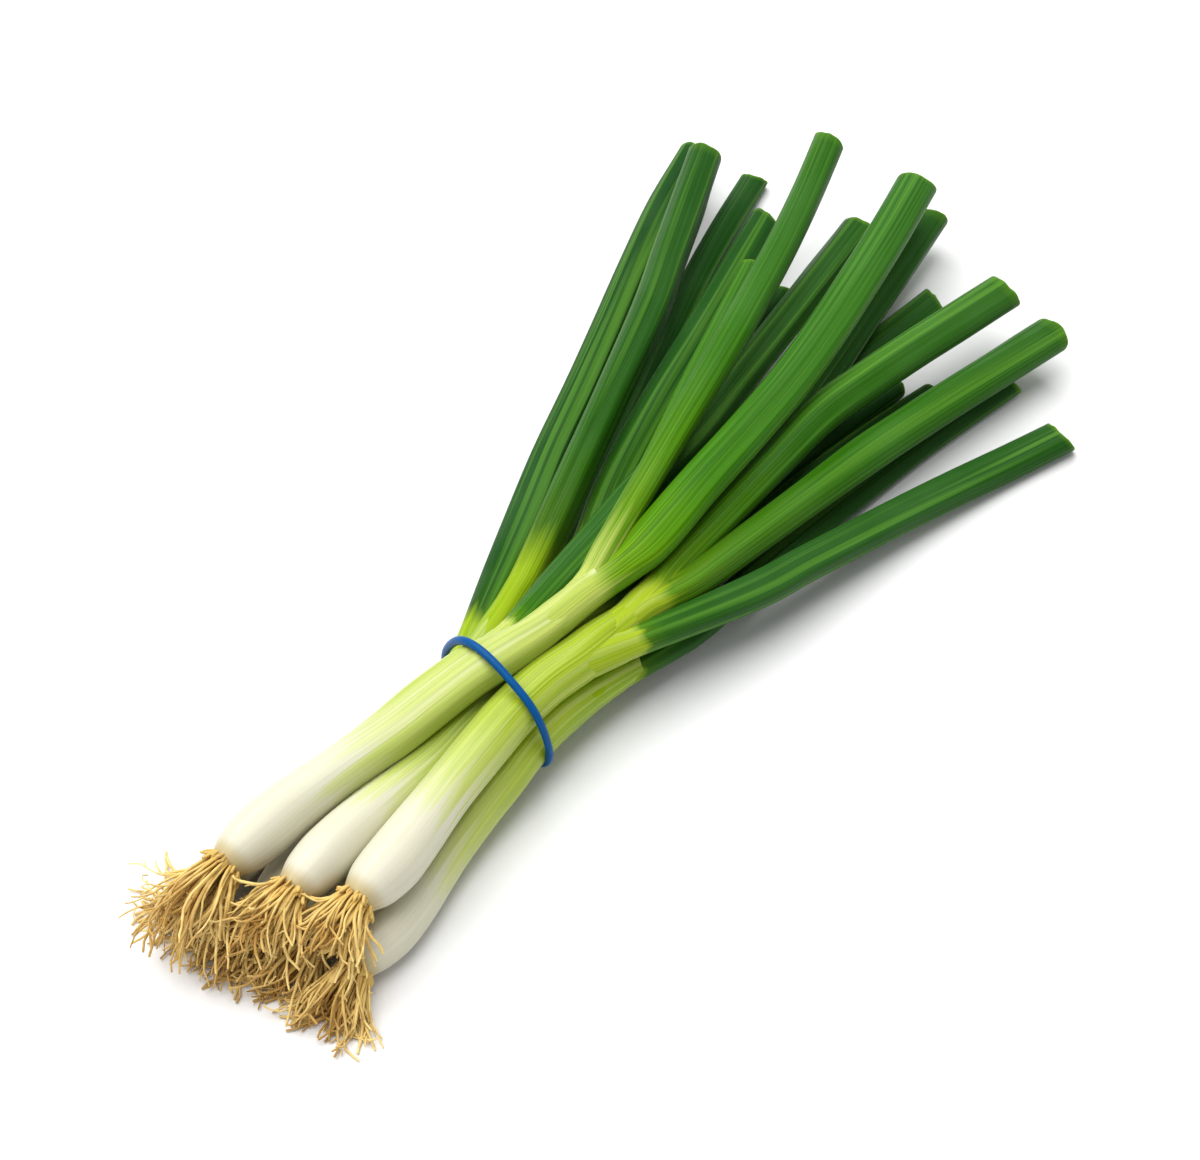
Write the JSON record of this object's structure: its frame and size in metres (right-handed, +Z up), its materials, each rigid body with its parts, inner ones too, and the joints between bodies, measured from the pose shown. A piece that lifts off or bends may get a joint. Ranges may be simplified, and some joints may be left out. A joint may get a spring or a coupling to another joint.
{
  "type": "spring onion bunch",
  "caption": "Bunch of spring onions with round white bulbs, root tufts and hollow green leaves cut square, held by a thin rubber band and lying on its side.",
  "frame": {"origin": "middle of the bunch's bounding box, on the surface that the bunch lies on", "axes": "+X along the bunch from the roots to the cut leaf ends, +Y to the left when looking along +X, +Z up from the surface"},
  "size_m": [0.3766, 0.1788, 0.043],
  "materials": {
    "white_stem": "fresh plant flesh, satin, white at the bulb and pale green at the fork",
    "green_leaf": "fresh leaf, waxy, dark green with fine lengthwise veins",
    "roots": "dry, matt, straw-coloured root threads",
    "band_rubber": "smooth blue rubber"
  },
  "bodies": {
    "root": {"onion_1_roots": "roots", "onion_1_stem": "white_stem", "onion_1_leaf_1": "green_leaf", "onion_1_leaf_2": "green_leaf", "onion_1_leaf_3": "green_leaf", "onion_1_leaf_4": "green_leaf", "onion_2_roots": "roots", "onion_2_stem": "white_stem", "onion_2_leaf_1": "green_leaf", "onion_2_leaf_2": "green_leaf", "onion_3_roots": "roots", "onion_3_stem": "white_stem", "onion_3_leaf_1": "green_leaf", "onion_3_leaf_2": "green_leaf", "onion_3_leaf_3": "green_leaf", "onion_4_roots": "roots", "onion_4_stem": "white_stem", "onion_4_leaf_1": "green_leaf", "onion_4_leaf_2": "green_leaf", "onion_5_roots": "roots", "onion_5_stem": "white_stem", "onion_5_leaf_1": "green_leaf", "onion_5_leaf_2": "green_leaf", "onion_6_roots": "roots", "onion_6_stem": "white_stem", "onion_6_leaf_1": "green_leaf", "onion_6_leaf_2": "green_leaf", "onion_7_roots": "roots", "onion_7_stem": "white_stem", "onion_7_leaf_1": "green_leaf", "onion_7_leaf_2": "green_leaf", "rubber_band": "band_rubber"}
  },
  "joints": []
}
